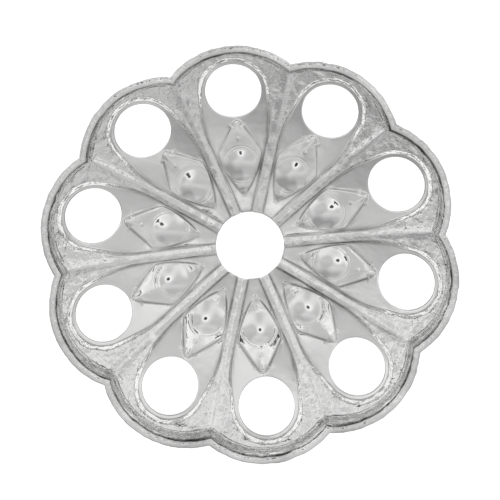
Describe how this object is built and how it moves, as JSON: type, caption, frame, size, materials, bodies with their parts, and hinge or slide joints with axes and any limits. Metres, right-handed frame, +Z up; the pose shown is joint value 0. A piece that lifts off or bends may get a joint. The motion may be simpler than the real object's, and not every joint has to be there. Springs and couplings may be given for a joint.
{
  "type": "bead cap",
  "caption": "Shallow pressed sheet bead cap with a scalloped rim, radial ribs, a raised leaf in each petal and a round hole pierced through each petal.",
  "frame": {"origin": "on the hub hole's axis, at the lowest point of the underside", "axes": "+Z up through the hub hole, out of the open side; a petal lies along +X"},
  "size_m": [0.01, 0.0098, 0.0019],
  "materials": {
    "silver_plate": "bright silver plate over pressed sheet metal, slightly uneven"
  },
  "bodies": {
    "root": {"bead_cap": "silver_plate"}
  },
  "joints": []
}
